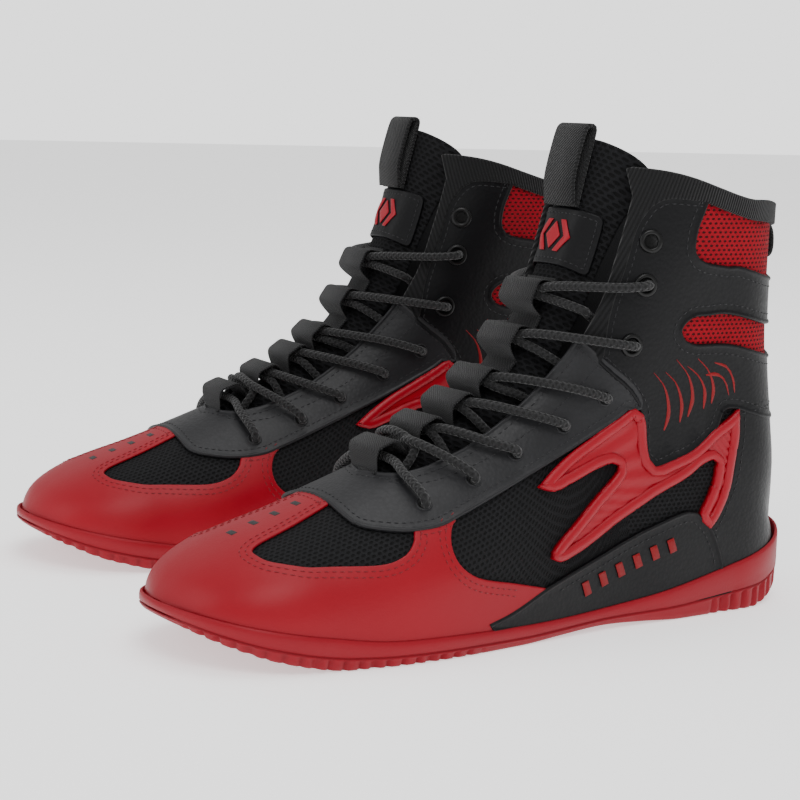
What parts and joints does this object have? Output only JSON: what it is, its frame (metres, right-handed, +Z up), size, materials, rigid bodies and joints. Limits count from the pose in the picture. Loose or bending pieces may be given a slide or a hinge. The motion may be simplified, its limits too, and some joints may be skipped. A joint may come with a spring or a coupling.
{
  "type": "pair of boxing boots",
  "caption": "Ankle-high lace-up boxing boots with a red rubber cupsole, black mesh and leather upper, red toe cap and side flashes, padded tongue and pull loops",
  "frame": {"origin": "under the middle of the pair's outer box, on the ground", "axes": "+Z up, toes towards +X, left boot on the +Y side, right boot on the -Y side"},
  "size_m": [0.3056, 0.274, 0.2015],
  "materials": {
    "sole_rubber": "satin moulded rubber",
    "red_synthetic": "smooth satin synthetic leather",
    "red_mesh": "knitted mesh",
    "black_mesh": "padded spacer mesh",
    "charcoal_leather": "fine-grained satin leather",
    "black_leather": "fine-grained satin leather",
    "webbing": "woven webbing",
    "lace_cord": "round braid",
    "lining_black": "brushed lining",
    "eyelet_metal": "gloss black"
  },
  "bodies": {
    "left_boot": {"left_outsole": "sole_rubber", "left_insole_board": "lining_black", "left_insole": "lining_black", "left_lining": "lining_black", "left_mesh_upper": "black_mesh", "left_toe_cap": "red_synthetic", "left_facings": "charcoal_leather", "left_ankle_panel_lateral": "black_leather", "left_ankle_panel_medial": "black_leather", "left_ankle_mesh_lateral": "red_mesh", "left_ankle_mesh_medial": "red_mesh", "left_side_flash_lateral": "red_synthetic", "left_side_flash_medial": "red_synthetic", "left_saddle_lateral": "black_leather", "left_saddle_medial": "black_leather", "left_heel_counter": "black_leather", "left_collar_binding": "black_mesh", "left_tongue": "black_mesh", "left_keeper_tape": "webbing", "left_lace": "lace_cord", "left_eyelet_lateral_1": "eyelet_metal", "left_eyelet_medial_1": "eyelet_metal", "left_eyelet_lateral_2": "eyelet_metal", "left_eyelet_medial_2": "eyelet_metal", "left_eyelet_lateral_3": "eyelet_metal", "left_eyelet_medial_3": "eyelet_metal"},
    "left_tongue_flap": {"left_tongue_top": "black_mesh", "left_tongue_label": "black_leather"},
    "left_tongue_pull": {"left_tongue_loop": "webbing"},
    "left_heel_pull": {"left_heel_loop": "webbing"},
    "right_boot": {"right_outsole": "sole_rubber", "right_insole_board": "lining_black", "right_insole": "lining_black", "right_lining": "lining_black", "right_mesh_upper": "black_mesh", "right_toe_cap": "red_synthetic", "right_facings": "charcoal_leather", "right_ankle_panel_lateral": "black_leather", "right_ankle_panel_medial": "black_leather", "right_ankle_mesh_lateral": "red_mesh", "right_ankle_mesh_medial": "red_mesh", "right_side_flash_lateral": "red_synthetic", "right_side_flash_medial": "red_synthetic", "right_saddle_lateral": "black_leather", "right_saddle_medial": "black_leather", "right_heel_counter": "black_leather", "right_collar_binding": "black_mesh", "right_tongue": "black_mesh", "right_keeper_tape": "webbing", "right_lace": "lace_cord", "right_eyelet_lateral_1": "eyelet_metal", "right_eyelet_medial_1": "eyelet_metal", "right_eyelet_lateral_2": "eyelet_metal", "right_eyelet_medial_2": "eyelet_metal", "right_eyelet_lateral_3": "eyelet_metal", "right_eyelet_medial_3": "eyelet_metal"},
    "right_tongue_flap": {"right_tongue_top": "black_mesh", "right_tongue_label": "black_leather"},
    "right_tongue_pull": {"right_tongue_loop": "webbing"},
    "right_heel_pull": {"right_heel_loop": "webbing"}
  },
  "joints": [
    {"name": "left_tongue_fold", "type": "hinge", "parent": "left_boot", "child": "left_tongue_flap", "pos_m": [-0.02058, 0.08099, 0.1431], "axis": [-0.0419, 0.9991, 0], "range_deg": [0, 25], "stiffness_Nm_per_rad": 0.15},
    {"name": "left_tongue_loop_fold", "type": "hinge", "parent": "left_tongue_flap", "child": "left_tongue_pull", "pos_m": [-0.02677, 0.08073, 0.168], "axis": [-0.0419, 0.9991, 0], "range_deg": [0, 60], "stiffness_Nm_per_rad": 0.02},
    {"name": "left_heel_loop_swing", "type": "hinge", "parent": "left_boot", "child": "left_heel_pull", "pos_m": [-0.12678, 0.07654, 0.167], "axis": [-0.0419, 0.9991, 0], "range_deg": [0, 90]},
    {"name": "right_boot_moves_away", "type": "slide", "parent": "left_boot", "child": "right_boot", "axis": [0, -1, 0], "range_m": [0, 0.1]},
    {"name": "right_tongue_fold", "type": "hinge", "parent": "right_boot", "child": "right_tongue_flap", "pos_m": [-0.03098, -0.08099, 0.1431], "axis": [0.0419, 0.9991, 0], "range_deg": [0, 25], "stiffness_Nm_per_rad": 0.15},
    {"name": "right_tongue_loop_fold", "type": "hinge", "parent": "right_tongue_flap", "child": "right_tongue_pull", "pos_m": [-0.03717, -0.08073, 0.168], "axis": [0.0419, 0.9991, 0], "range_deg": [0, 60], "stiffness_Nm_per_rad": 0.02},
    {"name": "right_heel_loop_swing", "type": "hinge", "parent": "right_boot", "child": "right_heel_pull", "pos_m": [-0.13718, -0.07654, 0.167], "axis": [0.0419, 0.9991, 0], "range_deg": [0, 90]}
  ]
}
